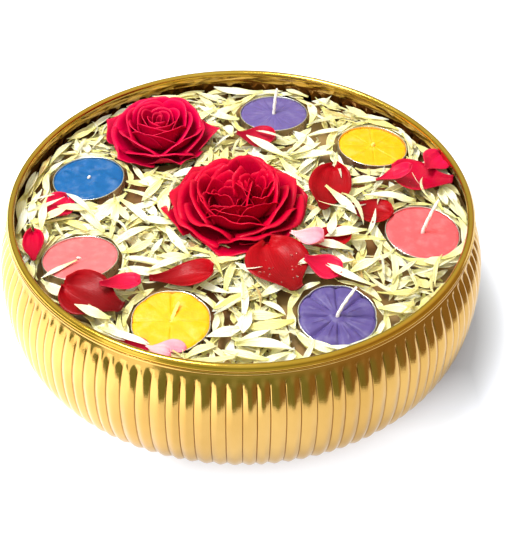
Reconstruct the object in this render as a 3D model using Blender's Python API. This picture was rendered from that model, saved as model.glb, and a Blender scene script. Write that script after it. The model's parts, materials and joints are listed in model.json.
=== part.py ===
"""A fluted brass urli bowl, filled with water, loose petals, rose heads and floating tealight candles.

Metres, +Z up. The origin is the centre of the flat base, on the surface the bowl stands on.
"""

from math import cos, pi, radians, sin

import bmesh
import bpy
from mathutils import Matrix, Vector

MM = 0.001
GAP = 0.3  # clearance between neighbouring pieces

# Driving dimensions, in millimetres.
RIM_R = 120.0  # outer edge of the lip
BELLY_R = 126.2  # widest part of the flutes
BELLY_Z = 42.0
BASE_R = 97.0  # flat underside
NECK_R = 118.3
NECK_Z = 70.5
LIP_Z = 73.9
HEIGHT = 77.5  # top of the rim ring
RING_WIDTH = 4.0
FLUTES = 108
FLUTE_DEPTH = 1.3
WALL = 1.0  # sheet thickness at the bottom of a groove
WATER_Z = 60.0
LAYER_TOP = 65.5  # top of the floating white petals
CUP_R = 19.3  # tealight cup, outside of its lip
CUP_H = 14.5
CUP_WALL = 0.5
CUP_Z = 55.3  # middle of a floating cup's underside
WAX_TOP = 13.3
POCKET_R = 21.9
POCKET_Z = 50.8
ROSE_Z = 62.2  # where a rose's lowest petals start
PETAL_Z = 66.0  # lowest point of a loose red petal

# Numbers of sides of the round shapes.
INNER_SIDES = FLUTES // 2
CUP_SIDES = 18
ROSE_SIDES = 16
SMALL_SIDES = 8

# name: (x, y, lean in degrees, direction of the lean, wick height, wick lean x, wick lean y, wax colour)
CANDLES = {
    "blue": (-80.5, 27.0, 3, 160, 5.0, 2.0, -1.5, (0.03, 0.22, 0.68)),
    "pink_left": (-79.3, -38.0, 7, 110, 5.0, -2.5, -2.0, (0.90, 0.26, 0.27)),
    "yellow_front": (-33.0, -80.0, 6, -90, 9.0, 3.0, 1.0, (0.95, 0.66, 0.01)),
    "purple_front": (45.4, -76.0, 8, -80, 14.0, 6.0, 2.0, (0.16, 0.10, 0.50)),
    "pink_right": (91.6, -16.0, 5, -50, 15.0, 4.5, 2.0, (0.93, 0.24, 0.25)),
    "yellow_back": (71.5, 55.5, 4, 30, 2.5, 0.5, 0.0, (0.93, 0.60, 0.01)),
    "purple_back": (18.8, 85.5, 5, 95, 13.0, 2.5, 1.0, (0.19, 0.14, 0.55)),
}
# name: (x, y, size against the large rose)
ROSES = {"large": (-2.0, 3.0, 1.0), "small": (-45.0, 65.0, 0.85)}
# x, y, yaw in degrees, length, width, how far the edges curl up
LOOSE_PETALS = [
    (-94.0, -4.5, 10, 17.0, 13.0, 3.0),
    (-104.5, -26.0, 80, 17.0, 9.0, 2.5),
    (-69.5, -72.0, 40, 24.0, 19.0, 5.0),
    (-50.5, -55.5, 20, 18.0, 10.0, 4.0),
    (-25.5, -46.5, 0, 25.0, 14.0, 5.0),
    (19.5, -48.0, 60, 27.0, 23.0, 5.5),
    (40.5, -48.0, -10, 15.0, 11.0, 4.0),
    (46.0, 12.0, 75, 28.0, 19.0, 6.0),
    (63.0, 0.5, -25, 17.0, 13.0, 3.5),
    (96.0, 20.0, 15, 27.0, 22.0, 7.0),
    (6.0, 57.5, -5, 20.0, 12.0, 3.5),
    (-57.5, -92.0, -35, 17.0, 8.0, 2.5),
]


def clear_scene():
    """Remove every object that is already in the scene."""
    for obj in list(bpy.data.objects):
        bpy.data.objects.remove(obj)


def make_material(name, colour, roughness, metallic=0.0):
    """A Principled material with one colour."""
    material = bpy.data.materials.new(name)
    material.use_nodes = True
    shader = material.node_tree.nodes["Principled BSDF"]
    shader.inputs["Base Color"].default_value = (*colour, 1.0)
    shader.inputs["Roughness"].default_value = roughness
    shader.inputs["Metallic"].default_value = metallic
    return material


def link_mesh(name, bm, material, parent=None):
    """Turn a bmesh into a named object, with its faces pointing out."""
    bmesh.ops.recalc_face_normals(bm, faces=bm.faces)
    mesh = bpy.data.meshes.new(name)
    bm.to_mesh(mesh)
    bm.free()
    mesh.shade_smooth()
    mesh.set_sharp_from_angle(angle=radians(40))
    mesh.materials.append(material)
    obj = bpy.data.objects.new(name, mesh)
    bpy.context.scene.collection.objects.link(obj)
    obj.parent = parent
    return obj


def link_empty(name, x, y, z, lean=0.0, towards=0.0):
    """An empty that holds a floating piece, leaning by an angle towards a direction."""
    empty = bpy.data.objects.new(name, None)
    bpy.context.scene.collection.objects.link(empty)
    axis = Vector((-sin(radians(towards)), cos(radians(towards)), 0.0))
    empty.rotation_mode = "QUATERNION"
    empty.rotation_quaternion = Matrix.Rotation(radians(lean), 3, axis).to_quaternion()
    empty.location = Vector((x, y, z)) * MM
    return empty


def bezier(start, first, second, end, steps):
    """Points of a cubic curve, without its first one."""
    points = []
    for i in range(1, steps + 1):
        t = i / steps
        weights = ((1 - t) ** 3, 3 * t * (1 - t) ** 2, 3 * t * t * (1 - t), t**3)
        corners = (start, first, second, end)
        points.append(tuple(sum(w * c[k] for w, c in zip(weights, corners)) for k in (0, 1)))
    return points


def add_ring(bm, r, z, sides, phase=0.0):
    """A ring of vertices round the Z axis."""
    angles = [2 * pi * (i + phase) / sides for i in range(sides)]
    return [bm.verts.new((r * cos(a) * MM, r * sin(a) * MM, z * MM)) for a in angles]


def stitch(bm, ring, other):
    """Faces between two rings of the same size, or where one has half as many vertices."""
    if len(ring) < len(other):
        ring, other = other, ring
    n, m = len(ring), len(other)
    step = n // m
    for i in range(m):
        side = [ring[(i * step + k) % n] for k in range(step + 1)]
        bm.faces.new((*side, other[(i + 1) % m], other[i]))


def lathe(name, profile, sides, material, parent=None):
    """A solid of revolution. A profile that starts at r = 0 also ends there; any other is a closed loop."""
    bm = bmesh.new()
    on_axis = profile[0][0] == 0
    rings = [add_ring(bm, r, z, sides) for r, z in profile if r > 0]
    for ring, following in zip(rings, rings[1:]):
        stitch(bm, ring, following)
    if on_axis:
        bm.faces.new(rings[0])
        bm.faces.new(rings[-1])
    else:
        stitch(bm, rings[-1], rings[0])
    return link_mesh(name, bm, material, parent)


def tube(name, points, radius, sides, material, parent):
    """A round bar through points that rise along Z."""
    bm = bmesh.new()
    rings = []
    for x, y, z in points:
        ring = add_ring(bm, radius, z, sides)
        bmesh.ops.translate(bm, verts=ring, vec=(x * MM, y * MM, 0.0))
        rings.append(ring)
    for ring, following in zip(rings, rings[1:]):
        stitch(bm, ring, following)
    bm.faces.new(rings[0])
    bm.faces.new(rings[-1])
    return link_mesh(name, bm, material, parent)


def outer_profile():
    """The wall's outer line over the tops of the flutes, from the flat base to the neck."""
    corner = bezier((BASE_R, 0), (116.5, 0), (BELLY_R, 12), (BELLY_R, BELLY_Z), 5)
    shoulder = bezier((BELLY_R, BELLY_Z), (BELLY_R, 55), (121.5, 65), (NECK_R, NECK_Z), 3)
    return [(BASE_R, 0.0), *corner, *shoulder]


def build_shell(material):
    """The bowl's one-piece wall and base. The flutes fade out at the base and at the neck."""
    bm = bmesh.new()
    line = outer_profile()
    rings = [add_ring(bm, *line[0], FLUTES)]
    for r, z in line[1:-1]:
        grooves = add_ring(bm, r - FLUTE_DEPTH, z, FLUTES)
        tops = add_ring(bm, r, z, FLUTES, 0.5)
        rings.append([v for pair in zip(grooves, tops) for v in pair])
    rings.append(add_ring(bm, *line[-1], FLUTES))
    rings.append(add_ring(bm, RIM_R, LIP_Z - 1.1, FLUTES))
    rings.append(add_ring(bm, RIM_R, LIP_Z, FLUTES))
    inner = [(NECK_R - WALL, LIP_Z), (NECK_R - WALL - 0.4, NECK_Z)]
    depth = FLUTE_DEPTH + WALL
    inner += [(r - depth, z) for r, z in reversed(line[2:-1])]
    inner += [(BASE_R + 10.0, WALL + 1.6), (BASE_R, WALL)]
    rings += [add_ring(bm, r, z, INNER_SIDES) for r, z in inner]
    for ring, following in zip(rings, rings[1:]):
        stitch(bm, ring, following)
    bm.faces.new(rings[0])
    bm.faces.new(rings[-1])
    return link_mesh("bowl_shell", bm, material)


def build_ring(material):
    """The rolled bead that finishes the mouth, seated on the lip."""
    middle, low = RIM_R - RING_WIDTH / 2 - 0.2, LIP_Z + GAP
    half, tall = RING_WIDTH / 2, HEIGHT - LIP_Z - GAP
    turn = [2 * pi * k / 8 + pi / 8 for k in range(8)]
    reach = 1 / cos(pi / 8)
    section = [(middle + half * reach * cos(a), low + tall / 2 * (1 + reach * sin(a))) for a in turn]
    return lathe("rim_ring", section, INNER_SIDES, material)


def wall_at(z):
    """The inner radius of the bowl at a height, less a clearance."""
    line = outer_profile()
    for (r0, z0), (r1, z1) in zip(line, line[1:]):
        if z0 <= z <= z1 and z1 > z0:
            return r0 + (r1 - r0) * (z - z0) / (z1 - z0) - FLUTE_DEPTH - WALL - GAP
    return line[-1][0] - FLUTE_DEPTH - WALL - GAP


def add_cylinder(bm, x, y, r, bottom, top, sides):
    """A closed upright cylinder."""
    ends = [add_ring(bm, r, z, sides) for z in (bottom, top)]
    stitch(bm, *ends)
    bm.faces.new(ends[0])
    bm.faces.new(ends[1])
    bmesh.ops.translate(bm, verts=[v for end in ends for v in end], vec=(x * MM, y * MM, 0.0))


def build_pocket_cutter(name, rose_r):
    """Upright pockets for the candles and the rose heads, used to cut the water and the petal layer."""
    bm = bmesh.new()
    for x, y, *_ in CANDLES.values():
        add_cylinder(bm, x, y, POCKET_R, POCKET_Z, HEIGHT, CUP_SIDES)
    for x, y, size in ROSES.values():
        add_cylinder(bm, x, y, rose_r * size, POCKET_Z - 6.0, HEIGHT, SMALL_SIDES + 4)
    cutter = link_mesh(name, bm, bpy.data.materials["water"])
    cutter.hide_render = True
    cutter.display_type = "WIRE"
    return cutter


def cut(obj, cutter):
    """Subtract the cutter from an object."""
    modifier = obj.modifiers.new("pockets", "BOOLEAN")
    modifier.operation = "DIFFERENCE"
    modifier.solver = "EXACT"
    modifier.object = cutter


def build_water(material):
    """The water, a little clear of the bowl, with a pocket where each float sits."""
    clear = 2 * GAP
    line = [(0, WALL + clear), (BASE_R, WALL + clear), (BASE_R + 10.0 - clear, WALL + 1.6 + clear)]
    line += [(wall_at(z), z) for z in (12.0, 25.0, BELLY_Z, WATER_Z)]
    water = lathe("water", [*line, (0, WATER_Z)], INNER_SIDES, material)
    cut(water, build_pocket_cutter("water_pockets", 15.5))


def build_petal_layer(material):
    """The floating layer of loose white petals, as one soft sheet round the floats."""
    bottom = WATER_Z + GAP
    edge = [(wall_at(bottom), bottom), (wall_at(LAYER_TOP), LAYER_TOP)]
    layer = lathe("white_petal_layer", [(0, bottom), *edge, (0, LAYER_TOP)], INNER_SIDES, material)
    cut(layer, build_pocket_cutter("layer_pockets", 21.0))


def build_candle(name, place, tin, cotton):
    """A tealight: a drawn cup, the wax block, its wick, and the tab that holds the wick upright."""
    x, y, lean, towards, wick_h, wick_x, wick_y, colour = place
    base = link_empty(f"{name}_tealight", x, y, CUP_Z, lean, towards)
    body_r = CUP_R - 0.4
    bore = body_r - CUP_WALL
    cup_line = [(0, 0), (body_r - 1, 0), (body_r, 1), (body_r, CUP_H - 0.8), (CUP_R, CUP_H - 0.4)]
    cup_line += [(CUP_R - 0.2, CUP_H), (bore, CUP_H - 0.5), (bore, CUP_WALL), (0, CUP_WALL)]
    lathe(f"{name}_tealight_cup", cup_line, CUP_SIDES, tin, base)

    floor = CUP_WALL + GAP
    tab_r, tab_top = 6.5, floor + 0.4
    neck_r, neck_top, hole = 1.9, floor + 3.4, 1.2
    tab_line = [(hole, floor), (tab_r, floor), (tab_r, tab_top), (neck_r, tab_top), (neck_r, neck_top)]
    lathe(f"{name}_tealight_wick_tab", [*tab_line, (hole, neck_top)], SMALL_SIDES, tin, base)

    wax = make_material(f"{name}_tealight_wax", colour, 0.45)
    over = 2 * GAP  # the tab's sides are fewer, so its recess has more room
    wax_line = [(tab_r + over, floor), (bore - GAP, floor), (bore - GAP, WAX_TOP - 0.3)]
    wax_line += [(bore - 1.5, WAX_TOP), (hole + 0.2, WAX_TOP - 0.6), (hole + 0.2, neck_top + over)]
    wax_line += [(neck_r + over, neck_top + over), (neck_r + over, tab_top + over)]
    lathe(f"{name}_tealight_wax", [*wax_line, (tab_r + over, tab_top + over)], CUP_SIDES, wax, base)

    top = WAX_TOP + wick_h
    route = [(0, 0, floor + 0.1), (0, 0, WAX_TOP)]
    route += [(wick_x * 0.4, wick_y * 0.4, (WAX_TOP + top) / 2), (wick_x, wick_y, top)]
    tube(f"{name}_tealight_wick", route, 0.75, SMALL_SIDES - 2, cotton, base)


def build_rose(name, place, red, green):
    """A cut rose head: the green calyx, then three nested rounds of petals."""
    x, y, size = place
    base = link_empty(f"{name}_rose", x, y, ROSE_Z + (1 - size) * 4.0)
    calyx = [(0, -15), (2.6, -15), (2.6, -10), (6.5, -7.5), (8, -4), (13, -1), (13, -0.4), (0, -0.4)]
    outer = [(0, 0), (15, 0.2), (18.6, 4.3), (33.5, 5.2), (34.5, 7.5), (28, 10), (26.5, 19.5)]
    outer += [(24.5, 21), (22, 8), (17.5, 4.6), (0, 3.6)]
    inner = [(0, 4.2), (16.5, 5.2), (21, 8.5), (23.4, 20), (21.5, 23.5), (17.5, 24.5)]
    inner += [(15, 22), (13.8, 11), (10.5, 8), (0, 7.6)]
    bud = [(0, 8.2), (9.5, 8.6), (12.8, 11.6), (13.6, 19.5), (11, 24), (5, 25.6), (0, 25)]
    pieces = {"calyx": calyx, "outer_petals": outer, "inner_petals": inner, "bud": bud}
    for piece, line in pieces.items():
        scaled = [(r * size, z * size) for r, z in line]
        material = green if piece == "calyx" else red
        lathe(f"{name}_rose_{piece}", scaled, ROSE_SIDES, material, base)


def build_loose_petal(name, place, material):
    """A thin cupped rose petal, narrow at its foot and round at its tip."""
    x, y, yaw, length, width, curl = place
    along, across, thick = 5, 4, 0.7
    bm = bmesh.new()
    sheets = []
    for level in (0.0, thick):
        rows = []
        for i in range(along + 1):
            s = i / along
            half = width / 2 * (0.25 + 0.75 * sin(pi * (0.12 + 0.72 * s)) ** 1.2)
            row = []
            for j in range(across + 1):
                v = 2 * j / across - 1
                rise = curl * (0.75 * v * v * s + 0.6 * (s - 0.5) ** 2)
                row.append(bm.verts.new(((s - 0.5) * length * MM, v * half * MM, (rise + level) * MM)))
            rows.append(row)
        sheets.append(rows)
    for rows in sheets:
        for row, following in zip(rows, rows[1:]):
            for j in range(across):
                bm.faces.new((row[j], row[j + 1], following[j + 1], following[j]))
    edges = []
    for rows in sheets:
        right = [row[-1] for row in rows[1:-1]]
        left = [row[0] for row in reversed(rows[1:-1])]
        edges.append([*rows[0], *right, *reversed(rows[-1]), *left])
    stitch(bm, *edges)
    petal = link_mesh(name, bm, material)
    petal.location = Vector((x, y, PETAL_Z)) * MM
    petal.rotation_euler.z = radians(yaw)


def main():
    clear_scene()
    brass = make_material("brass", (0.80, 0.53, 0.16), 0.18, 1.0)
    tin = make_material("aluminium", (0.85, 0.85, 0.84), 0.25, 1.0)
    cotton = make_material("cotton", (0.88, 0.84, 0.76), 0.85)
    red = make_material("red_petal", (0.55, 0.01, 0.03), 0.5)
    white = make_material("white_petal", (0.88, 0.86, 0.66), 0.6)
    green = make_material("calyx", (0.13, 0.25, 0.06), 0.6)
    water = make_material("water", (0.30, 0.17, 0.08), 0.05)
    build_shell(brass)
    build_ring(brass)
    build_water(water)
    build_petal_layer(white)
    for name, place in CANDLES.items():
        build_candle(name, place, tin, cotton)
    for name, place in ROSES.items():
        build_rose(name, place, red, green)
    for i, place in enumerate(LOOSE_PETALS, 1):
        build_loose_petal(f"red_petal_{i:02d}", place, red)


main()
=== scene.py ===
"""The looks of the brass urli bowl: fluted brass, water, white petals, roses and floating tealights."""

import json
from functools import lru_cache
from math import cos, pi, radians, sin, tau

import bmesh
import bpy
import numpy as np
from mathutils import Matrix, Vector


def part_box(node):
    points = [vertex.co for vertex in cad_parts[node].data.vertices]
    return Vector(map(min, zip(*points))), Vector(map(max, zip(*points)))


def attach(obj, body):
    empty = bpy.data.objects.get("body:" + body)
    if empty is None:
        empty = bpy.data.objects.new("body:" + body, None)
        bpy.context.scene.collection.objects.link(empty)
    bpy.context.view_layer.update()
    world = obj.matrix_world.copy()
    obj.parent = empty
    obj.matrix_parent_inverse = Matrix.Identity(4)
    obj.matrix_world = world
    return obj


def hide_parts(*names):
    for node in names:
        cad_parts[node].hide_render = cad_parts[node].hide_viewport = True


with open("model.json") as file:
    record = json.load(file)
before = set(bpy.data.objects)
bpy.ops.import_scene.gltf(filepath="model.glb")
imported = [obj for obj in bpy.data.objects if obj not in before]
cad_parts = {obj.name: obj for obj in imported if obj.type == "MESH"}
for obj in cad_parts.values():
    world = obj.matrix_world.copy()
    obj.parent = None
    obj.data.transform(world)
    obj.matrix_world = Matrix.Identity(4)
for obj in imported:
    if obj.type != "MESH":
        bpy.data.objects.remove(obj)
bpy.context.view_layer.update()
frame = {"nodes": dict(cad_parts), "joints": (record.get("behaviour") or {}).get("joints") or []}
MM = 0.001
SEED = 108

# ---------------------------------------------------------------- sizes and places, from the frame
RIM_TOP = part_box("rim_ring")[1].z
RIM_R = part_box("rim_ring")[1].x + 0.2 * MM
BELLY_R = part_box("bowl_shell")[1].x
LIP_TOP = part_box("bowl_shell")[1].z
WATER_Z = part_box("water")[1].z
WATER_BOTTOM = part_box("water")[0].z
PETALS_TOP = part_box("white_petal_layer")[1].z

# The brass.
FLUTES = 108
FLUTE_DEPTH = 1.4 * MM
FLUTE_FLAT = 0.04  # share of a flute's half width that is flat
GROOVE_EDGE = 0.92  # where the rounded flank ends and the narrow groove begins
FLANK_SHARE = 0.76  # share of the depth that the flank takes
FLUTE_STEPS = (0.0, 0.03, 0.06, 0.12, 0.20, 0.30, 0.42)  # columns from a groove towards the middle
NECK_SHARE = 0.30  # how deep the neck lies below the flutes' tops, as a share of their depth
WALL = 1.0 * MM
BASE_R = 97 * MM
BELLY_Z = 42 * MM
NECK_R = 118.3 * MM
NECK_Z = 70.5 * MM
ARCH_TOP = 69.3 * MM  # where the rounded tops of the flutes end
ARCH_HEIGHT = 5.0 * MM

# The floats.
CUP_R = 19.3 * MM
CUP_H = 14.5 * MM
CLEAR_OF_CUP = 19.7 * MM  # petals stay outside this radius round a tealight
LOBES = 8
TEALIGHT_SIDES = 192
BED_CLEARANCE = 2.8 * MM  # how far petals may rise above the slopes beside a tealight
DROPLETS = 16
ROSE_REACH = {"large_rose": 25.5 * MM, "small_rose": 22.5 * MM}  # petals stay outside it
WAIST = 9  # mm from a tealight's foot to the point that petals keep clear of
CUP_WALL_R = CUP_R - 0.35 * MM
CUP_SKIN = 0.3 * MM
WAX_R = CUP_R - 0.82 * MM
WAX_TOP = CUP_H - 0.45 * MM
WAX_FLOOR = 0.9 * MM
WICK_DEPTH = 1.6 * MM  # how far below the brim the wick starts

# The petals.
WHITE_THICK = 0.28 * MM
RED_THICK = 0.35 * MM
LAYER = 0.3 * MM  # how much each petal raises the pile
BRIM_DROP = 2.2 * MM  # the pile meets a cup this far below its brim
WILTED = 0.06  # share of the scattered petals that are browned
RED_RUFFLE = 0.7 * MM


class Tealight:
    """One tealight: its place and lean from the frame, and its style."""

    def __init__(self, name, relief, scallop, colour, wick):
        self.name = name
        self.relief = relief
        self.scallop = scallop
        self.colour = colour
        self.wick = wick
        self.cup_body = f"{name}_tealight_cup"
        self.block_body = f"{name}_tealight_block"
        slide = next(j for j in frame["joints"] if j["name"] == f"{name}_wax_out_of_cup")
        self.axis = Vector(slide["axis"]).normalized()
        points = [v.co for v in frame["nodes"][f"{name}_tealight_cup"].data.vertices]
        middle = sum(points, Vector()) / len(points)
        self.base = middle + self.axis * min((p - middle).dot(self.axis) for p in points)
        self.waist = self.base + self.axis * WAIST * MM
        lean = Vector((0, 0, 1)).rotation_difference(self.axis)
        self.matrix = Matrix.Translation(self.base) @ lean.to_matrix().to_4x4()


# name, kind of pressed relief, how far the outline is scalloped, wax colour, wick: height and lean in mm
TEALIGHTS = [
    Tealight("blue", "blistered", 0.010, (0.0, 0.075, 0.245), (1.5, 0.8, -0.6)),
    Tealight("pink_left", "plain", 0.004, (0.62, 0.11, 0.12), (0.8, -1.0, -1.5)),
    Tealight("yellow_front", "heart", 0.028, (0.85, 0.33, 0.0), (2.6, 3.5, 9.0)),
    Tealight("purple_front", "flower", 0.034, (0.072, 0.048, 0.185), (15.0, 8.0, 5.0)),
    Tealight("pink_right", "plain", 0.004, (0.62, 0.074, 0.085), (18.0, 5.9, 4.5)),
    Tealight("yellow_back", "star", 0.012, (0.85, 0.33, 0.0), (1.5, 0.5, 0.0)),
    Tealight("purple_back", "rays", 0.004, (0.10, 0.07, 0.23), (14.0, 1.7, 2.5)),
]


def centre_of(node):
    low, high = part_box(node)
    return (low + high) / 2


# ---------------------------------------------------------------- mesh building
@lru_cache(maxsize=None)
def sheet_faces(rows, cols):
    """Faces of a closed thin sheet whose top points come first and bottom points second."""
    index = np.arange(rows * cols).reshape(rows, cols)
    a, b, c, d = index[:-1, :-1], index[:-1, 1:], index[1:, 1:], index[1:, :-1]
    top = np.stack([a, b, c, d], -1).reshape(-1, 4)
    bottom = top[:, ::-1] + rows * cols
    edge = np.concatenate([index[0, :-1], index[:-1, -1], index[-1, :0:-1], index[:0:-1, 0]])
    after = np.roll(edge, -1)
    sides = np.stack([after, edge, edge + rows * cols, after + rows * cols], -1)
    return np.concatenate([top, bottom, sides])


@lru_cache(maxsize=None)
def ring_faces(rows, cols, closed):
    """Faces between rings of points, turned through a full circle; closed also joins last ring to first."""
    index = np.arange(rows * cols).reshape(rows, cols)
    following = np.roll(index, -1, axis=0) if closed else index[1:]
    first = index if closed else index[:-1]
    a, b = first, np.roll(first, -1, axis=1)
    c, d = np.roll(following, -1, axis=1), following
    return np.stack([a, b, c, d], -1).reshape(-1, 4)


def add_object(name, data):
    made = bpy.data.objects.new(name, data)
    bpy.context.scene.collection.objects.link(made)
    return made


def new_piece(name, verts, faces, material, body, values=None, sharp=None):
    """A named mesh object that rides on a body. values holds numbers per vertex, by attribute name."""
    mesh = bpy.data.meshes.new(name)
    mesh.from_pydata(np.reshape(verts, (-1, 3)).tolist(), [], [tuple(f) for f in faces])
    for key, numbers in (values or {}).items():
        layer = mesh.attributes.new(key, "FLOAT", "POINT")
        layer.data.foreach_set("value", np.ascontiguousarray(numbers, dtype=np.float32).ravel())
    mesh.shade_smooth()
    if sharp is not None:
        mesh.set_sharp_from_angle(angle=radians(sharp))
    mesh.materials.append(material)
    piece = add_object(name, mesh)
    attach(piece, body)
    return piece


class Sheets:
    """Many thin closed sheets, such as petals, gathered into one piece."""

    def __init__(self):
        self.verts, self.faces, self.count = [], [], 0
        self.values = {"along": [], "across": [], "tone": [], "tint": []}

    def add(self, points, thickness, tone, tint=0.0):
        rows, cols, _ = points.shape
        normal = np.cross(np.gradient(points, axis=0), np.gradient(points, axis=1))
        normal /= np.linalg.norm(normal, axis=-1, keepdims=True) + 1e-12
        flip = -1.0 if normal[..., 2].sum() < 0 else 1.0
        half = normal * flip * thickness / 2
        faces = sheet_faces(rows, cols) + self.count
        # sheet_faces winds its top side against the row-by-column normal
        self.faces.append(faces if flip < 0 else faces[:, ::-1])
        self.verts += [(points + half).reshape(-1, 3), (points - half).reshape(-1, 3)]
        self.count += 2 * rows * cols
        along = np.linspace(0, 1, rows)[:, None]
        across = np.linspace(-1, 1, cols)[None, :]
        for key, numbers in (("along", along), ("across", across), ("tone", tone), ("tint", tint)):
            self.values[key].append(np.broadcast_to(numbers, (2, rows, cols)).ravel())

    def piece(self, name, material, body, slot):
        values = {key: np.concatenate(parts) for key, parts in self.values.items()}
        verts, faces = np.concatenate(self.verts), np.concatenate(self.faces)
        return new_piece(name, verts, faces, material, body, values)


def around(r, turn, z):
    """Points at radius r, angle turn and height z, which are broadcast to one shape."""
    return np.stack(np.broadcast_arrays(r * np.cos(turn), r * np.sin(turn), z), -1)


def plain_rings(line, turn):
    """Points of smooth rings, one for each (r, z) of the line."""
    r, z = np.array(line).T
    return around(r[:, None], turn, z[:, None])


def full_turn(sides):
    return np.arange(sides) * tau / sides


def turned(name, line, sides, material, body, sharp):
    """A turned ring or cup: line is a closed outline in (r, z)."""
    verts = plain_rings(line, full_turn(sides))
    return new_piece(name, verts, ring_faces(len(line), sides, True), material, body, sharp=sharp)


def capped_faces(rows, cols):
    """Faces of a tube of rings with both of its ends closed."""
    ends = [tuple(range(cols))[::-1], tuple(range((rows - 1) * cols, rows * cols))]
    return [tuple(f) for f in ring_faces(rows, cols, False)] + ends


def bezier(points, steps):
    """(steps, 2) points along a cubic curve, its ends included."""
    t = np.linspace(0, 1, steps)[:, None]
    a, b, c, d = (np.array(p, float) for p in points)
    return (1 - t) ** 3 * a + 3 * t * (1 - t) ** 2 * b + 3 * t * t * (1 - t) * c + t**3 * d


def arc(centre, radius, start, end, steps):
    """Points along a circle's arc, with the angles in degrees."""
    turn = np.radians(np.linspace(start, end, steps))
    return np.stack([centre[0] + radius * np.cos(turn), centre[1] + radius * np.sin(turn)], -1)


def smoothstep(x):
    x = np.clip(x, 0, 1)
    return x * x * (3 - 2 * x)


def bell(x, width):
    return np.exp(-((x / width) ** 2))


# ---------------------------------------------------------------- materials
class Nodes:
    """Small helpers for a node tree."""

    def __init__(self, tree):
        self.tree = tree
        self.place = None

    def node(self, kind, **settings):
        made = self.tree.nodes.new(kind)
        for key, value in settings.items():
            setattr(made, key, value)
        return made

    def feed(self, value, socket):
        """Link an output socket, or set a plain number or colour."""
        if isinstance(value, bpy.types.NodeSocket):
            self.tree.links.new(value, socket)
        else:
            socket.default_value = value

    def output_of(self, kind, output, *values, **settings):
        """The named output of a new node whose first inputs are fed with values."""
        made = self.node(kind, **settings)
        for value, socket in zip(values, made.inputs):
            self.feed(value, socket)
        return made.outputs[output]

    def position(self, scale=(1, 1, 1)):
        """Object coordinates in metres, stretched per axis."""
        if self.place is None:
            self.place = self.node("ShaderNodeTexCoord")
        mapping = self.node("ShaderNodeMapping")
        mapping.inputs["Scale"].default_value = scale
        self.feed(self.place.outputs["Object"], mapping.inputs["Vector"])
        return mapping.outputs["Vector"]

    def noise(self, scale, detail, place=(1, 1, 1)):
        """Noise over the object, which place stretches per axis, or over the vector of a socket."""
        made = self.node("ShaderNodeTexNoise")
        made.inputs["Scale"].default_value = scale
        made.inputs["Detail"].default_value = detail
        self.feed(self.position(place) if isinstance(place, tuple) else place, made.inputs["Vector"])
        return made.outputs["Fac"]

    def value(self, name):
        return self.node("ShaderNodeAttribute", attribute_name=name).outputs["Fac"]

    def math(self, operation, a, b=0.0, clamp=False):
        return self.output_of("ShaderNodeMath", "Value", a, b, operation=operation, use_clamp=clamp)

    def times(self, a, b, clamp=False):
        return self.math("MULTIPLY", a, b, clamp)

    def span(self, value, low, high, to_low=0.0, to_high=1.0):
        return self.output_of("ShaderNodeMapRange", "Result", value, low, high, to_low, to_high)

    def combine(self, x, y, z):
        return self.output_of("ShaderNodeCombineXYZ", "Vector", x, y, z)

    def split(self, vector):
        made = self.node("ShaderNodeSeparateXYZ")
        self.feed(vector, made.inputs["Vector"])
        return made.outputs

    def ramp(self, value, *stops):
        made = self.node("ShaderNodeValToRGB")
        elements = made.color_ramp.elements
        while len(elements) < len(stops):
            elements.new(0.5)
        for element, (at, colour) in zip(elements, stops):
            element.position = at
            element.color = (*colour, 1.0)
        self.feed(value, made.inputs["Fac"])
        return made.outputs["Color"]

    def mix(self, fac, a, b, blend="MIX"):
        made = self.node("ShaderNodeMix", data_type="RGBA", blend_type=blend)
        sockets = [s for s in made.inputs if s.enabled]
        self.feed(fac, sockets[0])
        for socket, colour in zip(sockets[1:], (a, b)):
            self.feed((*colour, 1.0) if isinstance(colour, tuple) else colour, socket)
        return next(s for s in made.outputs if s.enabled)


class Shader(Nodes):
    """A Principled material. Its plain sockets are given by name, with _ for each space."""

    def __init__(self, name, **sockets):
        self.material = bpy.data.materials.new(name)
        self.material.use_nodes = True
        super().__init__(self.material.node_tree)
        self.shader = self.tree.nodes["Principled BSDF"]
        for key, value in sockets.items():
            self.set(key.replace("_", " "), value)

    def set(self, name, value):
        self.feed(value, self.shader.inputs[name])

    def bump(self, *heights):
        """Chain bumps, each given as (height, depth in metres)."""
        normal = None
        for height, depth in heights:
            made = self.node("ShaderNodeBump")
            made.inputs["Distance"].default_value = depth
            self.feed(height, made.inputs["Height"])
            if normal:
                self.feed(normal, made.inputs["Normal"])
            normal = made.outputs["Normal"]
        self.set("Normal", normal)


def brass_material(name, dull, deep, clear):
    """Polished brass: darkened in the grooves as painted shade, and a little rougher there, with fine
    polishing lines.
    """
    s = Shader(name, Metallic=1.0, IOR=1.45)
    groove = s.value("groove")
    unshaded_brass = s.ramp(s.noise(28, 4), (0.30, deep), (0.72, clear))
    # painted shade: the grooves' colour is drawn towards this dark brown
    s.set("Base Color", s.mix(s.times(groove, 0.6), unshaded_brass, (0.20, 0.09, 0.012)))
    smear = s.span(s.noise(90, 3), 0.35, 0.7, dull, dull + 0.07)
    s.set("Roughness", s.math("ADD", smear, s.times(groove, 0.2)))
    polish = s.noise(260, 2, (1, 1, 14))
    s.bump((s.noise(55, 2), 0.00022), (polish, 0.00002))
    return s.material


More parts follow.
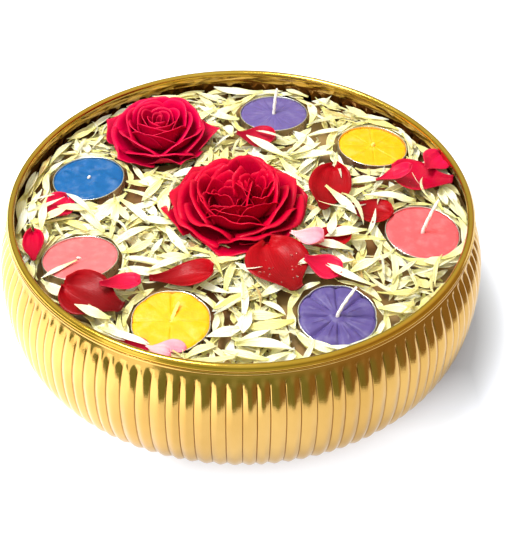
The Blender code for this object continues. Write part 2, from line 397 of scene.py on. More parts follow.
def white_petal_material():
    """Chrysanthemum petal: cream to white, green-yellow at the foot, veined, browned in places."""
    s = Shader("white_petal", Subsurface_Weight=0.5, Subsurface_Scale=0.003,
               Subsurface_Radius=(1.0, 0.8, 0.5), Sheen_Weight=0.1, Roughness=0.6)
    along, tone, tint = s.value("along"), s.value("tone"), s.value("tint")
    blade = s.ramp(tone, (0.0, (0.80, 0.62, 0.18)), (0.40, (0.90, 0.77, 0.34)), (0.85, (0.96, 0.91, 0.64)))
    foot = s.ramp(along, (0.0, (1, 1, 1)), (0.55, (0, 0, 0)))
    colour = s.mix(s.times(foot, 0.8), blade, (0.82, 0.75, 0.13))
    wilt = s.times(tint, s.span(s.noise(160, 3), 0.35, 0.65), clamp=True)
    colour = s.mix(wilt, colour, (0.42, 0.20, 0.05))
    wave = s.node("ShaderNodeTexWave", bands_direction="X")
    s.feed(s.combine(s.value("across"), s.times(along, 0.4), s.times(tone, 9.0)), wave.inputs["Vector"])
    for name, number in (("Scale", 1.1), ("Distortion", 1.2), ("Detail", 1.0)):
        wave.inputs[name].default_value = number
    vein = wave.outputs["Fac"]
    s.set("Base Color", s.mix(s.times(vein, 0.16), colour, (0.72, 0.66, 0.40)))
    s.bump((vein, 0.00018), (s.noise(420, 3), 0.00012))
    return s.material


def red_petal_material(name, deep, lit, edge):
    """Rose petal: velvety, with painted shade darkening it towards its foot and at a low tone, lighter along
    its rim, finely veined.
    """
    s = Shader(name, Roughness=0.38, Subsurface_Weight=0.08, Subsurface_Scale=0.001, Coat_Weight=0.05,
               Coat_Roughness=0.2, Specular_IOR_Level=0.2, Specular_Tint=(1.0, 0.35, 0.35, 1.0))
    along, across, tone = s.value("along"), s.value("across"), s.value("tone")
    # painted shade: towards the foot and at a low tone the colour goes from lit to deep
    shade = s.math("ADD", s.times(along, 0.55), s.times(tone, 0.45))
    colour = s.mix(s.span(shade, 0.15, 0.95), deep, lit)
    blotch = s.span(s.noise(110, 4), 0.42, 0.70)
    colour = s.mix(s.times(blotch, 0.35), colour, deep)
    rim = s.math("MAXIMUM", s.span(along, 0.94, 1.0), s.span(s.math("ABSOLUTE", across), 0.92, 1.0))
    s.set("Base Color", s.mix(s.times(rim, 0.12), colour, edge))
    veins = s.noise(1.0, 3, s.combine(s.times(across, 26.0), s.times(along, 3.0), s.times(tone, 50.0)))
    s.bump((veins, 0.0002), (s.noise(700, 2), 0.00008))
    return s.material


def mottled(name, cloud, stops, bumps=(), gloss=None, **sockets):
    """A material whose colour, and roughness if gloss gives its range, drift with noise."""
    s = Shader(name, **sockets)
    s.set("Base Color", s.ramp(s.noise(*cloud), *stops))
    if gloss:
        smear, low, high = gloss
        s.set("Roughness", s.span(s.noise(*smear), 0.3, 0.7, low, high))
    if bumps:
        s.bump(*[(s.noise(*waves), depth) for waves, depth in bumps])
    return s.material


def leaf_material():
    stops = (0.3, (0.05, 0.12, 0.02)), (0.7, (0.20, 0.32, 0.08))
    return mottled("calyx_green", (120, 4), stops, [((300, 3), 0.0003)], Roughness=0.6)


def wax_material(light):
    """Dyed wax: translucent, faintly mottled, with a soft greasy gloss."""
    pale = tuple(c + (1 - c) * 0.05 for c in light.colour)
    deep = tuple(c * 0.90 for c in light.colour)
    stops = (0.30, deep), (0.50, light.colour), (0.75, pale)
    bumps = [((230, 3), 0.00035), ((1300, 2), 0.00006)]
    return mottled(f"{light.name}_wax", (190, 4), stops, bumps, ((340, 2), 0.34, 0.50),
                   Subsurface_Weight=0.2, Subsurface_Scale=0.002, Subsurface_Radius=(1.0, 0.6, 0.4),
                   Coat_Weight=0.04, Coat_Roughness=0.3, Specular_IOR_Level=0.25)


def aluminium_material():
    """Thin rolled metal, its bumps drawn out along the cup's axis."""
    stops = (0.3, (0.70, 0.69, 0.66)), (0.7, (0.84, 0.83, 0.81))
    bumps = [((480, 2, (1, 1, 0.15)), 0.00012)]
    return mottled("tealight_aluminium", (150, 3), stops, bumps, ((260, 3), 0.22, 0.38), Metallic=1.0)


def wick_material(name, colour):
    """Waxed cotton: the plies catch the light, with dye soaked up from the wax."""
    s = Shader(name, Roughness=0.7, Sheen_Weight=0.3)
    dull = tuple(c * 0.72 for c in colour)
    s.set("Base Color", s.mix(s.span(s.noise(1500, 3), 0.35, 0.65), colour, dull))
    s.bump((s.noise(2600, 2), 0.00015))
    return s.material


def water_material():
    """Water, only partly clear, whose mottled brown and khaki colour is painted shade for the shaded brass and
    petals below, with a faint ripple.
    """
    # painted shade: the shaded brass and petals seen through the water, given as browns
    stops = (0.35, (0.22, 0.075, 0.03)), (0.6, (0.38, 0.24, 0.09))
    return mottled("water", (18, 3), stops, [((70, 2), 0.0012)],
                   IOR=1.333, Roughness=0.02, Transmission_Weight=0.3)


def droplet_material():
    stops = (0.3, (0.97, 0.97, 0.98)), (0.7, (1.0, 1.0, 1.0))
    return mottled("droplet", (300, 1), stops, IOR=1.333, Roughness=0.01, Transmission_Weight=1.0)


# ---------------------------------------------------------------- the brass
def outer_line(rows_low, rows_high):
    """The wall's outer line over the tops of the flutes, from the flat base to the neck, as (r, z)."""
    corner = bezier([(BASE_R, 0), (116.5 * MM, 0), (BELLY_R, 12 * MM), (BELLY_R, BELLY_Z)], rows_low)
    ends = [(BELLY_R, BELLY_Z), (BELLY_R, 55 * MM), (121.5 * MM, 65 * MM), (NECK_R, NECK_Z)]
    return np.concatenate([corner, bezier(ends, rows_high)[1:]])


def flute_turns():
    """Azimuths of the wall's columns and their distance from the middle of a flute, 0, to a groove, 1.

    The flutes are pressed a little unevenly, and the columns are closest at the grooves.
    """
    half = np.array(FLUTE_STEPS)
    share = np.concatenate([half, 1 - half[:0:-1]])
    even = (np.arange(FLUTES)[:, None] + share[None, :]).ravel() * tau / FLUTES
    uneven = 0.0045 * np.sin(7 * even + 1.0) + 0.0035 * np.sin(19 * even) + 0.0025 * np.sin(41 * even + 2.0)
    return even + uneven, np.tile(np.abs(share * 2 - 1), FLUTES)


def flute_relief(t, z, r):
    """How far the surface stands below the flutes' tops, 0 to 1, and how deep in a groove it is."""
    rise = np.clip((z - (ARCH_TOP - ARCH_HEIGHT)) / ARCH_HEIGHT, 0, 1)
    arch = np.sqrt(np.clip(1 - rise**2, 0, 1))
    t = np.clip(t / np.maximum(arch, 0.3), 0, 1)
    foot = smoothstep((r - BASE_R - 2 * MM) / (9 * MM))
    foot = np.where(z > 20 * MM, 1.0, foot)
    flank = np.clip((t - FLUTE_FLAT) / (GROOVE_EDGE - FLUTE_FLAT), 0, 1)
    flank = 1.2 * flank**2 / (flank + 0.2)
    groove = np.clip((t - GROOVE_EDGE) / (1 - GROOVE_EDGE), 0, 1)
    below = FLANK_SHARE * flank + (1 - FLANK_SHARE) * groove
    fade = smoothstep(rise)
    return (below + (NECK_SHARE - below) * fade) * foot, smoothstep(groove * 1.5) * foot * (1 - fade)


def fluted_rings(line, turn, t, inset):
    """Points of the fluted wall along a line, moved in by inset."""
    slope = np.gradient(line, axis=0)
    normal = np.stack([slope[:, 1], -slope[:, 0]], -1)
    normal /= np.linalg.norm(normal, axis=1, keepdims=True)
    below, groove = flute_relief(t[None, :], line[:, 1][:, None], line[:, 0][:, None])
    depth = below * FLUTE_DEPTH + inset
    r = line[:, 0][:, None] - normal[:, 0][:, None] * depth
    z = line[:, 1][:, None] - normal[:, 1][:, None] * depth
    return around(r, turn, z), groove


def make_wall(material):
    """The bowl's wall, drawn from one sheet, with its flutes showing inside as well."""
    turn, t = flute_turns()
    outer, outer_groove = fluted_rings(outer_line(26, 30), turn, t, 0.0)
    inner, _ = fluted_rings(outer_line(16, 22), turn, t, WALL)
    seat_r = 2 * RIM_R - 120 * MM
    collar = [(NECK_R + 0.1 * MM, NECK_Z + 0.9 * MM), (NECK_R + 0.9 * MM, NECK_Z + 1.7 * MM),
              (seat_r, NECK_Z + 2.3 * MM), (seat_r, LIP_TOP - 0.3 * MM), (RIM_R - 0.3 * MM, LIP_TOP),
              (NECK_R - WALL, LIP_TOP), (NECK_R - WALL - 0.1 * MM, LIP_TOP - 1.4 * MM)]
    floor = [(BASE_R * share, WALL) for share in (0.96, 0.5, 0.02)]
    floor += [(BASE_R * share, 0.0) for share in (0.02, 0.5, 0.9)]
    rings = np.concatenate([outer, plain_rings(collar, turn), inner[::-1], plain_rings(floor, turn)])
    groove = np.zeros(rings.shape[:2])
    groove[:len(outer)] = outer_groove
    faces = ring_faces(len(rings), len(turn), True)
    wall = new_piece("fluted_wall", rings, faces, material, "root", {"groove": groove}, 50)
    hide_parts("bowl_shell")


def make_rim(material):
    """The rolled bead on the mouth: a broad crown, a fine groove, and a thin bright lip below it."""
    seat = LIP_TOP + 0.3 * MM
    crown = arc((RIM_R - 2.35 * MM, seat + 1.45 * MM), 1.8 * MM, 200, 20, 17)
    lip = arc((RIM_R - 0.75 * MM, seat + 0.75 * MM), 0.72 * MM, 60, -75, 9)
    inside = [(RIM_R - 3.6 * MM, seat)]
    bead = turned("rim_bead", [*crown, *lip, *inside], FLUTES * 4, material, "root", 60)
    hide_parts("rim_ring")


# ---------------------------------------------------------------- water
def make_water(material):
    """The water, with a close pocket round each float, so that a lifted float leaves it cleanly."""
    axis_r = 0.001 * MM
    line = [(axis_r, WATER_BOTTOM), (BASE_R, WATER_BOTTOM + 0.4 * MM), (BASE_R + 8 * MM, 3.2 * MM)]
    depth = FLUTE_DEPTH + WALL + 0.3 * MM
    line += [(r - depth, z) for r, z in outer_line(12, 12) if 8 * MM < z < WATER_Z]
    line += [(NECK_R - WALL + 1 * MM, WATER_Z), (axis_r, WATER_Z)]
    water = turned("water_body", line, 144, material, "root", 30)
    cutter = bmesh.new()
    pockets = [(light.base.x, light.base.y, CUP_R + 0.2 * MM, light.base.z - 2.8 * MM) for light in TEALIGHTS]
    for name in ROSE_REACH:
        middle = centre_of(f"{name}_calyx")
        pockets.append((middle.x, middle.y, 15 * MM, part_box(f"{name}_calyx")[0].z - 1 * MM))
    for x, y, radius, bottom in pockets:
        place = Matrix.Translation((x, y, (bottom + RIM_TOP) / 2))
        bmesh.ops.create_cone(cutter, cap_ends=True, segments=64, radius1=radius, radius2=radius,
                              depth=RIM_TOP - bottom, matrix=place)
    mesh = bpy.data.meshes.new("pockets")
    cutter.to_mesh(mesh)
    cutter.free()
    tool = add_object("pockets", mesh)
    modifier = water.modifiers.new("pockets", "BOOLEAN")
    modifier.operation = "DIFFERENCE"
    modifier.solver = "EXACT"
    modifier.object = tool
    view = bpy.context.evaluated_depsgraph_get()
    water.data = bpy.data.meshes.new_from_object(water.evaluated_get(view))
    water.modifiers.clear()
    bpy.data.objects.remove(tool)
    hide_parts("water")


# ---------------------------------------------------------------- petals
def blade_points(length, width, rng, curl, gutter, bend, twist, tip, teeth=0.0, rows=11, cols=5):
    """A narrow petal from its foot at x = 0: curled along its length, guttered, bent sideways and twisted.

    Its tip is a point, or with teeth a blunt end cut into small teeth of that share of the length.
    """
    s = np.linspace(0, 1, rows)
    u = np.linspace(-1, 1, cols)[None, :]
    swell = 0.28 + 0.72 * smoothstep(s / 0.55)
    end = np.clip(s - tip, 0, 1) / (1 - tip)
    close = 1 - 0.5 * end**2 if teeth else np.clip(1 - end**1.8, 0.06, 1)
    half = (width / 2 * swell * close)[:, None]
    pitch = curl * (s - 0.45)
    yaw = bend * (s - 0.5)
    heading = np.stack([np.cos(pitch) * np.cos(yaw), np.cos(pitch) * np.sin(yaw), np.sin(pitch)], -1)
    spine = np.concatenate([np.zeros((1, 3)), np.cumsum(heading[:-1] + heading[1:], 0) / 2])
    centre = spine * length / (rows - 1)
    side = np.stack([-np.sin(yaw), np.cos(yaw), 0 * yaw], -1)
    up = np.cross(heading, side)
    roll = (twist * (s - 0.5))[:, None]
    side, up = side * np.cos(roll) + up * np.sin(roll), up * np.cos(roll) - side * np.sin(roll)
    lift = gutter * half * (u**2 - 0.4) + 0.05 * width * np.sin(6 * s[:, None] + rng.uniform(0, tau)) * u
    points = centre[:, None, :] + side[:, None, :] * (u * half)[..., None] + up[:, None, :] * lift[..., None]
    cut = np.cos(np.linspace(0, (cols - 1) * pi, cols) + pi * rng.integers(2)) * rng.uniform(0.6, 1.3, cols)
    return points + heading[:, None, :] * (teeth * length * end[:, None] ** 3 * cut)[..., None]


def cupped_points(length, width, rng, cup, arch, roll, ruffle, rows=16, cols=13):
    """A single rose petal lying on its back: narrow at its foot, broad and rolled at its tip."""
    s = np.linspace(0, 1, rows)[:, None]
    u = np.linspace(-1, 1, cols)[None, :]
    swell = 0.22 + 0.78 * smoothstep(s / 0.62)
    close = np.sqrt(np.clip(1 - (np.clip(s - 0.58, 0, 1) / 0.42) ** 2.6, 0.02, 1))
    half = width / 2 * swell * close
    wave = rng.uniform(0, tau, 3)
    x = length * (s - 0.5) + 0.03 * length * (u**2) * s * np.sin(wave[0])
    z = cup * width * 0.45 * np.abs(u) ** 2.2 * (0.3 + 0.7 * s)
    z = z + arch * length * (s - 0.45) ** 2
    z = z - roll * width * (np.clip(s - 0.72, 0, 1) / 0.28) ** 2 * 0.07
    z = z - roll * width * (np.clip(np.abs(u) - 0.7, 0, 1) / 0.3) ** 2 * 0.10 * s
    z = z + ruffle * np.sin(3.3 * pi * u + wave[1]) * s**2 + ruffle * 0.6 * np.sin(5 * s + wave[2]) * u
    return np.stack([x + 0 * u, half * u * (1 - 0.12 * cup * np.abs(u)), z + 0 * u], -1)


def placed(points, x, y, yaw):
    """Points turned about the vertical and moved to (x, y)."""
    c, s = cos(yaw), sin(yaw)
    out = points.copy()
    out[..., 0] = points[..., 0] * c - points[..., 1] * s + x
    out[..., 1] = points[..., 0] * s + points[..., 1] * c + y
    return out


class Pile:
    """The height of all that floats so far, on a fine grid, so that each petal comes to rest on the last."""

    CELL = 1.0 * MM

    def __init__(self, level):
        self.side = int(RIM_R / self.CELL) + 4
        step = (np.arange(2 * self.side + 1) - self.side) * self.CELL
        x, y = np.meshgrid(step, step)
        self.height = np.full(x.shape, level)
        for light in TEALIGHTS:
            middle = light.waist
            gap = np.hypot(x - middle.x, y - middle.y) - CLEAR_OF_CUP
            lean = (light.axis.x * (x - middle.x) + light.axis.y * (y - middle.y)) / light.axis.z
            brim = (light.base + light.axis * CUP_H).z - lean - BRIM_DROP
            np.maximum(self.height, brim - 0.45 * np.abs(gap), out=self.height)
        np.maximum(self.height, PETALS_TOP - 1.0 * MM - 0.5 * (NECK_R - np.hypot(x, y)), out=self.height)
        self.bed = self.height.copy()
        self.roses = [(centre_of(f"{name}_bud"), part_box(f"{name}_outer_petals")[0].z) for name in ROSE_REACH]
        self.keep_out = [(t.base + t.axis * h, CLEAR_OF_CUP) for t in TEALIGHTS for h in (0, 10 * MM)]
        self.keep_out += [(centre_of(f"{name}_bud"), reach) for name, reach in ROSE_REACH.items()]
        self.edge = NECK_R + 0.2 * MM

    def cells(self, points):
        cell = np.rint(points[..., :2] / self.CELL).astype(int) + self.side
        return np.clip(cell[..., 1], 1, 2 * self.side - 1), np.clip(cell[..., 0], 1, 2 * self.side - 1)

    def blocked(self, points):
        xy = points[..., :2]
        if (np.linalg.norm(xy, axis=-1) > self.edge).any():
            return True
        return any((np.linalg.norm(xy - np.array(c[:2]), axis=-1) < r).any() for c, r in self.keep_out)

    def pokes(self, points, ceiling):
        """Whether a petal rises too high, into the neck of the bowl, or through a rose's lowest petals."""
        z = points[..., 2]
        if (z > np.maximum(ceiling, self.bed[self.cells(points)] + BED_CLEARANCE)).any():
            return True
        if (z[np.linalg.norm(points[..., :2], axis=-1) > NECK_R - 2.5 * MM] > ARCH_TOP).any():
            return True
        for middle, low in self.roses:
            gap = np.linalg.norm(points[..., :2] - np.array(middle[:2]), axis=-1)
            under = low + 1.5 * MM + 4 * MM * (gap / (30 * MM)) ** 2
            if ((gap < 34 * MM) & (z > under)).any():
                return True
        return False

    def support(self, points):
        return self.height[self.cells(points)]

    def settle(self, points, steepest=0.32, share=82):
        """The points tilted and lifted so that most of them clear what is below."""
        under = self.support(points)
        xy = points[..., :2].reshape(-1, 2)
        middle = xy.mean(0)
        system = np.concatenate([xy - middle, np.ones((len(xy), 1))], 1)
        slope = np.linalg.lstsq(system, under.ravel(), rcond=None)[0][:2]
        slope *= min(1.0, steepest / (np.linalg.norm(slope) + 1e-9))
        out = points.copy()
        out[..., 2] += (points[..., :2] - middle) @ slope
        out[..., 2] += np.percentile(under - out[..., 2], share)
        return out

    def add(self, points):
        row, col = self.cells(points)
        top = points[..., 2] + LAYER
        for dr in (-1, 0, 1):
            for dc in (-1, 0, 1):
                np.maximum.at(self.height, (row + dr, col + dc), top)


# length and width in mm, curl, gutter, bend, twist and tip; a pair is a range to draw from
SHORT = ((9, 15), (2.8, 4.8), (-0.3, 0.5), 0.5, (-0.3, 0.3), (-0.4, 0.4), 0.6)
STRAND = ((14, 27), (0.9, 1.9), (-1.6, 1.6), 0.4, (-2.2, 2.2), (-2, 2), 0.6)
NARROW = ((17, 27), (2.0, 3.6), (-1.0, 1.3), (0.3, 1.2), (-0.8, 0.8), (-1.2, 1.2), (0.4, 0.65))
BROAD = ((18, 30), (3.4, 6.0), (-0.6, 0.9), (0.3, 1.0), (-0.45, 0.45), (-0.6, 0.6), (0.45, 0.7))
TORN = ((16, 29), (4.0, 6.8), (-0.7, 0.9), (0.4, 1.1), (-0.5, 0.5), (-0.6, 0.6), (0.45, 0.65))
NARROW_SHARE = 0.42
TOOTHED_SHARE = 0.35  # of the broad ones


def drawn_blade(rng, length, width, *shape, toothed=0.0):
    """A petal of one kind; a share of them, toothed, has a blunt end."""
    def draw(span):
        return rng.uniform(*span) if isinstance(span, tuple) else span
    length, width = draw(length) * MM, draw(width) * MM
    teeth = rng.uniform(0.03, 0.07) if toothed and rng.random() < toothed else 0.0
    return blade_points(length, width, rng, *[draw(span) for span in shape], teeth)


def random_blade(rng, strands):
    """A petal of a random kind. strands is the share of thin curly ones; None asks for a short piece."""
    if strands is None:
        return drawn_blade(rng, *SHORT)
    kind = (rng.random() - strands) / (1 - strands)
    if kind < 0:
        return drawn_blade(rng, *STRAND)
    if kind < NARROW_SHARE:
        return drawn_blade(rng, *NARROW)
    return drawn_blade(rng, *BROAD, toothed=TOOTHED_SHARE)


class WhitePetals:
    """The loose white petals, each laid on all that came before it."""

    def __init__(self, pile, rng):
        self.pile, self.rng, self.sheets = pile, rng, Sheets()

    def lay(self, petal, rise, darkest=0.0, wilted=0.0, **settling):
        """Lay a petal down, unless its place is taken or it would rise more than rise mm above the layer."""
        if self.pile.blocked(petal):
            return
        rest = self.pile.settle(petal, **settling)
        if self.pile.pokes(rest, PETALS_TOP + rise * MM):
            return
        self.pile.add(rest)
        tone = darkest + (1 - darkest) * self.rng.random()
        tint = float(self.rng.random() < wilted) if wilted else 0.0
        self.sheets.add(rest, WHITE_THICK, tone, tint)

    def scatter(self, count, rise, tries=10, strands=0.16):
        """Drop loose petals one by one into the lowest places that are free."""
        rng, pile = self.rng, self.pile
        for _ in range(count):
            shape = random_blade(rng, strands)
            shape[..., 0] -= shape[..., 0].mean()
            best = None
            for _ in range(tries):
                r, a, yaw = pile.edge * np.sqrt(rng.random()), rng.uniform(0, tau), rng.uniform(0, tau)
                trial = placed(shape, r * cos(a), r * sin(a), yaw)
                if pile.blocked(trial):
                    continue
                low = pile.support(trial).mean()
                if best is None or low < best[0]:
                    best = (low, trial)
            if best:
                self.lay(best[1], rise, wilted=WILTED)

    def collar(self, middle, reach, count, drift=3.0, outside=True):
        """Petals that lie along a float's edge, or along the inside of the wall, and follow its curve.

        drift is how far from that edge they may lie, in mm.
        """
        rng = self.rng
        for k in range(count):
            az = tau * (k + rng.uniform(-0.5, 0.5)) / count
            length, width = rng.uniform(11, 24) * MM, rng.uniform(2.6, 5.5) * MM
            away = reach + (1 if outside else -1) * (width / 2 + rng.uniform(0.1, drift) * MM)
            way = rng.choice((-1, 1))
            shape = blade_points(length, width, rng, rng.uniform(-0.2, 0.4), rng.uniform(0.3, 0.9),
                                 way * length / away, rng.uniform(-0.3, 0.3), rng.uniform(0.5, 0.7))
            shape[..., :2] -= shape[len(shape) // 2, shape.shape[1] // 2, :2]
            x, y = middle[0] + away * cos(az), middle[1] + away * sin(az)
            self.lay(placed(shape, x, y, az + way * pi / 2), 5)

    def brush(self, middle, count):
        """Petals whose ends touch a tealight, pointing away from it at all angles."""
        rng = self.rng
        for k in range(count):
            az = tau * (k + rng.uniform(-0.4, 0.4)) / count
            shape = random_blade(rng, 0.1)
            if rng.random() < 0.5:
                shape[..., 0] = shape[..., 0].max() - shape[..., 0]
            away = CLEAR_OF_CUP + rng.uniform(0.1, 1.6) * MM
            x, y = middle.x + away * cos(az), middle.y + away * sin(az)
            self.lay(placed(shape, x, y, az + rng.uniform(-1.1, 1.1)), 6)

    def strew_over(self, red, count):
        """Petals that lie across the edge of a red one."""
        rng = self.rng
        edge = np.concatenate([red[:, 0], red[:, -1], red[-1]])
        middle = red.mean((0, 1))
        for _ in range(count):
            at = edge[rng.integers(len(edge))]
            inwards = np.arctan2(middle[1] - at[1], middle[0] - at[0])
            shape = random_blade(rng, 0.35)
            shape[..., 0] -= shape[..., 0].max() * rng.uniform(0.35, 0.75)
            trial = placed(shape, at[0], at[1], inwards + rng.uniform(-1.1, 1.1))
            self.lay(trial, 10.5, 0.4, steepest=0.45, share=92)

    def fan(self, x, y, heading, spread, count):
        """A torn piece of a flower head: petals that spread from one foot."""
        rng = self.rng
        for k in range(count):
            yaw = heading + spread * ((k + 0.5) / count - 0.5) + rng.uniform(-0.1, 0.1)
            shape = drawn_blade(rng, *TORN)
            self.lay(placed(shape, x + rng.uniform(-1, 1) * MM, y + rng.uniform(-1, 1) * MM, yaw), 6, 0.35)


def make_droplets(petal, material):
    """Small beads of water that cling to a petal."""
    rng = np.random.default_rng(SEED + 3)
    rows, sides = 7, 12
    tilt = np.linspace(0.05, pi - 0.05, rows)[:, None]
    bead = around(np.sin(tilt), full_turn(sides), 0.65 * np.cos(tilt)).reshape(-1, 3)
    verts, faces = [], []
    for k in range(DROPLETS):
        at = petal[rng.integers(3, len(petal) - 3), rng.integers(2, petal.shape[1] - 2)]
        size = rng.uniform(0.35, 0.85) * MM
        shift = np.append(rng.uniform(-0.8, 0.8, 2) * MM, 0.2 * MM + 0.35 * size)
        verts.append(bead * size + at + shift)
        faces += [tuple(i + k * len(bead) for i in face) for face in capped_faces(rows, sides)]
    new_piece("petal_droplets", verts, faces, material, "root")


# x, y, yaw in degrees, length, width (mm), cup, arch, roll, colour family
RED_PETALS = [
    (-94.5, 0.0, 60, 19, 16, 0.5, 0.3, 0.3, "rose"),
    (-103.5, -31.0, 97, 22, 12, 0.7, 0.3, 0.4, "crimson"),
    (-71.0, -68.5, 150, 34, 29, 0.35, 0.3, 0.2, "dark"),
    (-58.0, -60.5, 20, 20, 15, 0.7, 0.3, 0.6, "rose"),
    (-29.0, -54.0, 4, 31, 19, 0.7, 0.3, 0.7, "dark"),
    (-51.5, -99.0, -28, 20, 10, 0.7, 0.2, 0.4, "rose"),
    (20.0, -48.0, 112, 36, 34, 0.30, 0.35, 0.15, "dark"),
    (40.5, -48.0, -20, 20, 15, 0.6, 0.3, 0.6, "rose"),
    (46.0, 13.0, 78, 36, 24, 0.45, 0.5, 0.5, "dark"),
    (66.5, -2.0, -12, 25, 20, 0.4, 0.25, 0.2, "dark"),
    (42.5, -24.5, 15, 26, 17, 0.45, 0.3, 0.3, "dark"),
    (33.0, -29.0, -25, 18, 11, 0.9, 0.3, 0.7, "blush"),
    (96.0, 23.0, 165, 32, 29, 0.5, 0.4, 0.4, "crimson"),
    (80.0, 19.0, 10, 18, 14, 0.6, 0.3, 0.4, "rose"),
    (8.5, 61.0, -8, 22, 16, 0.5, 0.4, 0.5, "crimson"),
    (104.0, 36.0, 60, 22, 16, 0.5, 0.35, 0.3, "rose"),
    (-37.5, -106.0, -18, 12, 7, 0.4, 0.2, 0.2, "blush"),
]


def lay_bed(whites):
    """The white petals below: first along the edges, then short pieces in the gaps, then all kinds."""
    rng = whites.rng
    for light in TEALIGHTS:
        whites.collar(light.waist, CLEAR_OF_CUP, 18)
    whites.collar((0, 0), whites.pile.edge, 70, outside=False)
    whites.scatter(700, 1.0, 14, None)
    whites.scatter(900, 2.0)
    for light in TEALIGHTS:
        whites.collar(light.waist, CLEAR_OF_CUP, 16, 0.8)
        whites.brush(light.waist, 34)
    whites.scatter(400, 3.5)
    for _ in range(130):
        r, a = 110 * MM * np.sqrt(rng.random()), rng.uniform(0, tau)
        heading, spread = rng.uniform(0, tau), rng.uniform(0.9, 2.8)
        whites.fan(r * cos(a), r * sin(a), heading, spread, int(rng.integers(5, 9)))
    whites.scatter(150, 6.0, 4, 0.5)


def make_floating_petals(material, reds):
    """White petals below, the loose rose petals on them, and more white petals strewn over."""
    rng = np.random.default_rng(SEED)
    pile = Pile(WATER_Z + 0.6 * MM)
    whites = WhitePetals(pile, rng)
    lay_bed(whites)
    biggest = max(RED_PETALS, key=lambda petal: petal[3] * petal[4])
    red_sheets = {family: Sheets() for family in reds}
    for petal in RED_PETALS:
        x, y, yaw, length, width, cup, arch, roll, family = petal
        shape = cupped_points(length * MM, width * MM, rng, cup, arch, roll, RED_RUFFLE)
        rest = pile.settle(placed(shape, x * MM, y * MM, radians(yaw)), 0.35, 97)
        pile.add(rest)
        red_sheets[family].add(rest, RED_THICK, rng.uniform(0.2, 0.9))
        if petal is biggest:
            make_droplets(rest, droplet_material())
        whites.strew_over(rest, 14)
    layer = whites.sheets.piece("white_petals", material, "root", "white_petal")
    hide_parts("white_petal_layer")
    pieces = {family: sheets.piece(f"loose_{family}_petals", reds[family], "root", "red_petal")
              for family, sheets in red_sheets.items()}
    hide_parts(*[n for n in frame["nodes"] if n.startswith("red_petal")])


# ---------------------------------------------------------------- roses
# Part of the rose, x and y of a centre, and the whorls round it. Each whorl gives its number of petals, the
# first azimuth and the tone (painted shade: lower is darker), then reach, height, span, roll, ruffle, point
# and foot. Lengths are in mm.
LARGE_ROSE = [
    ("outer_petals", 0, 0, [
        (6, 0.2, 0.25, 31.5, 6.0, 0.66, 1.5, 1.8, 4.0, 1.5),
        (6, 0.7, 0.40, 29.0, 11.0, 0.70, 3.2, 1.8, 2.5, 1.5),
        (5, 0.3, 0.50, 25.5, 15.0, 0.80, 3.8, 1.6, 1.5, 1.5),
    ]),
    ("inner_petals", 0, 0, [
        (5, 0.9, 0.55, 22.0, 18.5, 0.78, 3.4, 1.4, 0.5, 1.5),
        (6, 0.2, 0.60, 18.8, 20.5, 0.68, 2.8, 1.3, 0.5, 1.5),
    ]),
    # the hollow heart, its inner whorls at a low tone: painted shade inside it
    ("bud", -6, -2.5, [
        (5, 0.1, 0.60, 13.0, 20.5, 0.85, 2.4, 1.6, 0, 1.5),
        (5, 0.9, 0.45, 10.2, 17.0, 0.80, 1.6, 1.5, 0, 1.5),
        (4, 1.4, 0.25, 7.2, 14.0, 0.90, 1.0, 1.2, 0, 1.5),
        (3, 1.3, 0.10, 3.6, 11.0, 1.30, 0.5, 0.5, 0, 0.8),
    ]),
    # the heart whose petals stand up
    ("bud", 10, 4, [
        (5, 0.1, 0.65, 9.0, 21.0, 0.75, 2.4, 1.8, 0, 1.5),
        (4, 0.9, 0.60, 6.2, 20.5, 0.85, 1.8, 1.6, 0, 1.0),
        (3, 0.4, 0.50, 3.4, 19.5, 1.00, 1.0, 1.0, 0, 0.8),
    ]),
    # between the two hearts
    ("bud", 2, 4, [(3, 1.95, 0.55, 13.5, 21.5, 0.70, 3.0, 2.2, 0, 1.5)]),
]
SMALL_ROSE = [
    ("outer_petals", 0, 0, [
        (5, -2.45, 0.10, 25.5, 6.5, 0.66, 0.3, 1.5, 6.5, 1.5),
        (4, -1.6, 0.45, 23.0, 11.0, 0.90, 3.2, 1.0, 0.5, 1.5),
    ]),
    ("inner_petals", 0, 0, [
        (4, -0.8, 0.60, 20.0, 15.5, 0.95, 3.2, 0.9, 0, 1.5),
        (4, -0.1, 0.70, 16.6, 18.0, 1.00, 2.8, 0.8, 0, 1.5),
        (4, 0.6, 0.75, 13.4, 19.4, 1.05, 2.3, 0.7, 0, 1.5),
    ]),
    ("bud", 0, 0, [
        # the tone falls towards the middle: painted shade inside the bud
        (3, 0.2, 0.70, 10.4, 19.8, 1.30, 1.7, 0.5, 0, 1.5),
        (3, 1.2, 0.60, 7.8, 19.4, 1.30, 1.2, 0.4, 0, 1.5),
        (2, 0.5, 0.50, 5.4, 18.6, 1.75, 0.8, 0.3, 0, 1.0),
        (2, 1.9, 0.30, 3.2, 17.6, 1.70, 0.4, 0.2, 0, 0.8),
        (1, 1.0, 0.20, 1.4, 17.0, 2.30, 0.1, 0.1, 0, 0.6),
    ]),
]
HIP = [(0.01, 0), (2.4, 0), (2.5, 5), (5.5, 7), (7.6, 9.5), (9.5, 12.5), (7.5, 14.2), (0.01, 14.4)]  # r, z


